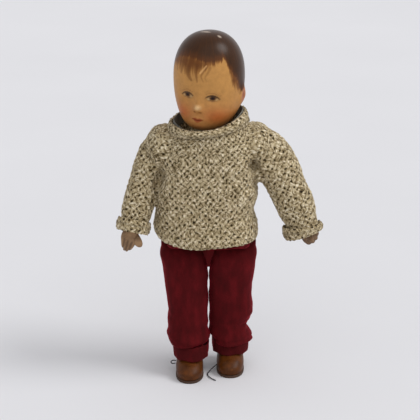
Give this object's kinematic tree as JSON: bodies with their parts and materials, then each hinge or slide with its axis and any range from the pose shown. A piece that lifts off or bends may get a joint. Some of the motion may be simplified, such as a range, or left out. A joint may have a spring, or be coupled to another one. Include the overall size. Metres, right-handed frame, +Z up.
{
  "type": "cloth doll",
  "caption": "Dressed cloth doll of a small child: painted swivel head, stuffed body with jointed arms and legs, tweed pullover, red velveteen trousers and leather shoes.",
  "frame": {"origin": "on the floor under the middle of the doll's box, the loose lace left out", "axes": "+Z up through the head, -Y the way the doll's body faces, +X to the doll's left"},
  "size_m": [0.202, 0.0849, 0.3496],
  "materials": {
    "painted_cloth": "oil paint on moulded cloth, satin",
    "muslin": "woven cotton, stuffed",
    "hand_cloth": "woven cotton, painted and stuffed",
    "wadding": "loose fibre stuffing",
    "card_disc": "pressed card",
    "steel": "drawn wire",
    "tweed_knit": "coarse flecked wool knit",
    "shirt_cotton": "plain woven cotton",
    "red_velveteen": "short cotton pile",
    "sock_knit": "fine knit",
    "shoe_leather": "worn, waxed",
    "sole_leather": "matt",
    "lace_cotton": "twisted cotton"
  },
  "bodies": {
    "trunk": {"torso": "muslin", "neck_disc": "card_disc", "neck_pin": "steel", "shoulder_disc_left": "card_disc", "shoulder_disc_right": "card_disc", "shoulder_pin_left": "steel", "shoulder_pin_right": "steel", "hip_tab": "muslin", "hip_pin": "steel", "hip_disc_left": "card_disc", "hip_disc_right": "card_disc", "shirt_body": "shirt_cotton", "shirt_collar": "shirt_cotton", "sweater_body": "tweed_knit", "sweater_collar": "tweed_knit", "trousers_seat": "red_velveteen", "trousers_gusset": "red_velveteen", "waistband": "red_velveteen"},
    "head": {"head_shell": "painted_cloth", "head_stuffing": "wadding", "head_disc": "card_disc"},
    "right_arm": {"arm_right": "hand_cloth", "thumb_right": "hand_cloth", "arm_disc_right": "card_disc", "sleeve_right": "tweed_knit", "sleeve_cuff_right": "tweed_knit"},
    "left_arm": {"arm_left": "hand_cloth", "thumb_left": "hand_cloth", "arm_disc_left": "card_disc", "sleeve_left": "tweed_knit", "sleeve_cuff_left": "tweed_knit"},
    "right_leg": {"leg_right": "muslin", "sock_right": "sock_knit", "shoe_upper_right": "shoe_leather", "shoe_sole_right": "sole_leather", "trouser_leg_right": "red_velveteen", "turn_up_right": "red_velveteen", "lace_right": "lace_cotton"},
    "left_leg": {"leg_left": "muslin", "sock_left": "sock_knit", "shoe_upper_left": "shoe_leather", "shoe_sole_left": "sole_leather", "trouser_leg_left": "red_velveteen", "turn_up_left": "red_velveteen", "lace_left": "lace_cotton"}
  },
  "joints": [
    {"name": "neck_swivel", "type": "hinge", "parent": "trunk", "child": "head", "pos_m": [-0.00946, -0.00117, 0.2699], "axis": [0, 0, 1], "range_deg": [-48, 92]},
    {"name": "right_shoulder", "type": "hinge", "parent": "trunk", "child": "right_arm", "pos_m": [-0.04422, -0.00117, 0.2219], "axis": [1, 0, 0], "range_deg": [-110, 40]},
    {"name": "left_shoulder", "type": "hinge", "parent": "trunk", "child": "left_arm", "pos_m": [0.0253, -0.00117, 0.2219], "axis": [1, 0, 0], "range_deg": [-110, 40]},
    {"name": "right_hip", "type": "hinge", "parent": "trunk", "child": "right_leg", "pos_m": [-0.03396, -0.00117, 0.1161], "axis": [1, 0, 0], "range_deg": [-90, 25]},
    {"name": "left_hip", "type": "hinge", "parent": "trunk", "child": "left_leg", "pos_m": [0.01504, -0.00117, 0.1161], "axis": [1, 0, 0], "range_deg": [-90, 25]}
  ]
}
